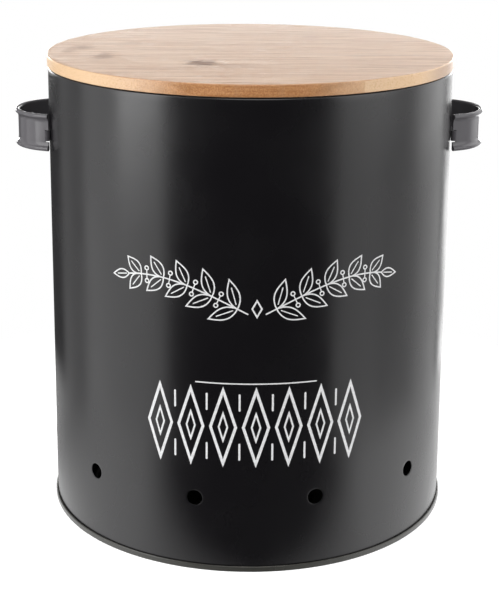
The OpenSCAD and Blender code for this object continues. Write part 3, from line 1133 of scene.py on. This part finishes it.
def silicone_finish(marks):
    """Milky silicone: soft, a little see-through at its thin lip, with moulding haze."""
    material, tree, shader = new_material("milky silicone")
    place = place_in_mm(tree)
    haze = noise(place, 0.15, 3.0)
    handled = use_group(tree, marks, {"Dust": 0.3, "Specks": 0.3})
    tone = mix_colour(haze, SILICONE_DEEP, SILICONE_PALE)
    feed(shader, {
        "Base Color": mix_colour(handled["Dust"], tone, SILICONE_DUSTY),
        "Roughness": ramp(haze, 0.3, 0.7, 0.42, 0.56),
        "Normal": bump(noise(place, 1.4, 2.0), 0.2, 0.03 * MM),
        "Subsurface Weight": 0.25,
        "Subsurface Radius": SILICONE_SCATTER,
    })
    return material


def ink_finish(marks):
    """Screen-printed white: thin, faintly uneven, matter than the paint."""
    material, tree, shader = new_material("white screen ink")
    place = place_in_mm(tree)
    cover = noise(place, 0.8, 3.0)
    handled = use_group(tree, marks, {"Dust": 0.2, "Specks": 0.2})
    tone = mix_colour(ramp(cover, 0.35, 0.65), INK_THIN, INK_FULL)
    feed(shader, {
        "Base Color": mix_colour(handled["Dust"], tone, INK_DUSTY),
        "Roughness": ramp(cover, 0.3, 0.7, 0.45, 0.6),
        "Normal": bump(noise(place, 2.5, 2.0), 0.2, 0.02 * MM),
    })
    return material


# ---- Stage ----

FLOOR_R = 0.34
FLOOR_RINGS = 12
FLOOR_COLUMNS = 96
FLOOR_GAP = 0.02 * MM
FLOOR_FADE_R = 0.24
FLOOR_CLEAR_R = 0.99 * FLOOR_R

# the table: its colour, its lift for the camera, its brightness in gloss
TABLE_PALE = (0.82, 0.82, 0.82, 1)
TABLE_LIFT = 0.42
TABLE_GLOW = 1.8
TABLE_DARK_GLOW = 0.02
TABLE_DARK_TURN = math.radians(27)
TABLE_DARK_EDGE = (-0.125, -0.049)
TABLE_REAR = (-0.12, 0.06)
TABLE_REAR_SIDES = (-0.05, 0.05)
TABLE_REAR_LOSS = (1.2, 0.6)

# the room from low to high, and what gloss sees overhead and behind the bin
ROOM_LIGHT = (0.22, 0.4)
OVERHEAD_GLOSS = 0.5
BEHIND_GLOSS = (0.03, 0.06)

# lights that face straight across: name, place, width, height, brightness
SIDE_SOFTBOXES = [
    ("left softbox", (-0.9, -0.325, 0.3), 1.04, 1.8, 1.5),
    ("left upper softbox", (-0.88, -0.53, 0.62), 0.57, 1.15, 3.3),
    ("left rear softbox", (-0.9, 0.5, 0.3), 0.6, 1.8, 0.47),
    ("right front softbox", (0.9, -0.62, 0.3), 0.64, 1.8, 1.15),
    ("right softbox", (0.9, -0.05, 0.3), 0.5, 1.8, 0.8),
    ("right side softbox", (0.9, 0.525, 0.3), 0.65, 1.8, 1.12),
    ("right upper softbox", (0.88, -0.55, 0.65), 0.8, 1.1, 1.2),
    ("right side upper softbox", (0.88, 0.45, 0.6), 0.7, 1.1, 0.8),
]

# lights that face a point: name, place, point, width, height, brightness
AIMED_SOFTBOXES = [
    ("right rear softbox", (0.75, 1.35, 0.3), (0, 0, 0.2), 0.5, 1.8, 2.1),
    ("rear softbox", (0, 1.6, 0.225), (0, 0, 0.225), 2.4, 0.35, 8.0),
    ("front key softbox", (0, -1.3, 1.2), (0, 0, 0.15), 1.0, 0.8, 3.0),
    ("overhead softbox", (0, 0.1, 1.3), (0, 0, 0.2), 1.3, 1.3, 0.5),
]


def mix_shaders(factor, first, second):
    """A blend of two shaders."""
    return add_node("MixShader", {0: factor, 1: first.outputs[0], 2: second.outputs[0]})


def table_gloss(place):
    """How bright the table is in gloss: most at the bin's sides, less behind it, dark in front."""
    x, y, _ = split_axes(place)
    aside = product(distance(x, 0), math.sin(TABLE_DARK_TURN))
    back = product(y, math.cos(TABLE_DARK_TURN))
    bright = ramp(maths("ADD", aside, back), *TABLE_DARK_EDGE, TABLE_DARK_GLOW, 1.0)
    rear = ramp(y, *TABLE_REAR)
    rear_loss = ramp(x, *TABLE_REAR_SIDES, *TABLE_REAR_LOSS)
    return product(bright, maths("SUBTRACT", TABLE_GLOW, product(rear, rear_loss)))


def table_material():
    """Matt and pale, near white to the camera, and clear towards its edge."""
    material = bpy.data.materials.new("pale table")
    material.use_nodes = True
    material.cycles.emission_sampling = "NONE"
    tree = material.node_tree
    tree.nodes.clear()
    place = tree.nodes.new("ShaderNodeTexCoord").outputs["Object"]
    seen = tree.nodes.new("ShaderNodeLightPath").outputs
    matt = tree.nodes.new("ShaderNodeBsdfDiffuse")
    feed(matt, {"Color": TABLE_PALE})
    lift = add_node("Emission", {"Strength": product(seen["Is Camera Ray"], TABLE_LIFT)})
    plain = add_node("AddShader", {0: matt.outputs[0], 1: lift.outputs[0]})
    glow = add_node("Emission", {"Strength": table_gloss(place)})
    both = mix_shaders(seen["Is Glossy Ray"], plain, glow)
    length = add_node("VectorMath", {0: place}, operation="LENGTH").outputs["Value"]
    edge = ramp(length, FLOOR_FADE_R, FLOOR_CLEAR_R)
    faded = mix_shaders(edge, both, tree.nodes.new("ShaderNodeBsdfTransparent"))
    add_node("OutputMaterial", {"Surface": faded.outputs[0]})
    return material


def make_floor():
    """A pale round table top whose edge fades into the white surroundings."""
    profile = [(FLOOR_R * i / FLOOR_RINGS, 0) for i in range(FLOOR_RINGS + 1)]
    verts, faces = lathe(profile, FLOOR_COLUMNS)
    mesh = bpy.data.meshes.new("table_top")
    mesh.from_pydata(verts, [], faces)
    mesh.materials.append(table_material())
    floor = add_object("table_top", mesh)
    floor.location.z = -FLOOR_GAP


def make_surroundings():
    """White to the camera; a softly lit room above the table and a dim one below it."""
    world = bpy.data.worlds.new("studio")
    bpy.context.scene.world = world
    world.use_nodes = True
    tree = world.node_tree
    _, back, up = split_axes(tree.nodes.new("ShaderNodeTexCoord").outputs["Generated"])
    seen = tree.nodes.new("ShaderNodeLightPath").outputs
    room = ramp(up, 0.02, 0.4, *ROOM_LIGHT)
    overhead = ramp(up, 0.1, 0.5, 0.0, OVERHEAD_GLOSS)
    behind = ramp(back, 0.3, 0.9, *BEHIND_GLOSS)
    in_gloss = maths("MAXIMUM", overhead, behind)
    lit = add_node("Mix", {"Factor": seen["Is Glossy Ray"], 2: room, 3: in_gloss}).outputs[0]
    seen_directly = maths("MAXIMUM", seen["Is Camera Ray"], seen["Is Transmission Ray"])
    background = {"Color": (1, 1, 1, 1), "Strength": maths("MAXIMUM", lit, seen_directly)}
    feed(tree.nodes["Background"], background)


def add_softbox(name, place, target, width, height, radiance):
    """A rectangular soft light of a given brightness, turned towards a point."""
    light = bpy.data.lights.new(name, "AREA")
    light.shape = "RECTANGLE"
    light.size = width
    light.size_y = height
    light.energy = radiance * width * height * math.pi
    lamp = add_object(name, light)
    lamp.location = place
    lamp.rotation_euler = (Vector(target) - Vector(place)).to_track_quat("-Z", "Y").to_euler()


def light_the_set():
    """Adds every softbox: those at the sides face straight across, the others a point."""
    for name, place, width, height, radiance in SIDE_SOFTBOXES:
        add_softbox(name, place, (0, *place[1:]), width, height, radiance)
    for name, place, target, width, height, radiance in AIMED_SOFTBOXES:
        add_softbox(name, place, target, width, height, radiance)


# ---- Camera, fitted to the photograph, in metres, radians and the picture's pixels ----

SENSOR_W = 36
FRAME_LONG_PX = 600
FOCAL_PX = 1491
CENTRE_UP_PX = 105
CAMERA_AWAY = 0.883
CAMERA_Z = 0.4085
STAND_ANGLE = 0.038
CAMERA_PITCH = 0.2444
CAMERA_ROLL = 0.0075


def place_camera():
    """The photograph's viewpoint: a little above the lid, with the lens shifted down."""
    data = bpy.data.cameras.new("camera")
    data.sensor_width = SENSOR_W
    data.lens = FOCAL_PX / FRAME_LONG_PX * SENSOR_W
    data.shift_y = -CENTRE_UP_PX / FRAME_LONG_PX
    camera = add_object("camera", data)
    bpy.context.scene.camera = camera
    turn = Matrix.Rotation(-STAND_ANGLE, 4, "Z")
    spot = Matrix.Translation((0, -CAMERA_AWAY, CAMERA_Z))
    tilt = Matrix.Rotation(QUARTER - CAMERA_PITCH, 4, "X")
    roll = Matrix.Rotation(CAMERA_ROLL, 4, "Z")
    camera.matrix_world = turn @ spot @ tilt @ roll


def build():
    """Sets up the studio, then makes every piece with its finish."""
    bpy.context.scene.view_settings.view_transform = "Standard"
    place_camera()
    make_surroundings()
    make_floor()
    light_the_set()

    coat, marks = sprayed_coat_group(), handling_group()
    paint = {part: paint_finish(coat, marks, *values) for part, values in PAINTS.items()}
    make_shell(paint["shell"])
    make_base(paint["base"])
    for end, side in (("left", -1), ("right", 1)):
        make_handle(f"strap_handle_{end}", f"handle_{end}", side, paint["handle"])
        for place in ("front", "rear"):
            make_rivet(f"domed_rivet_{end}_{place}", f"rivet_{end}_{place}", paint["rivet"])
    make_board(bamboo_finish())
    make_seal(silicone_finish(marks))
    make_print(ink_finish(marks))


build()
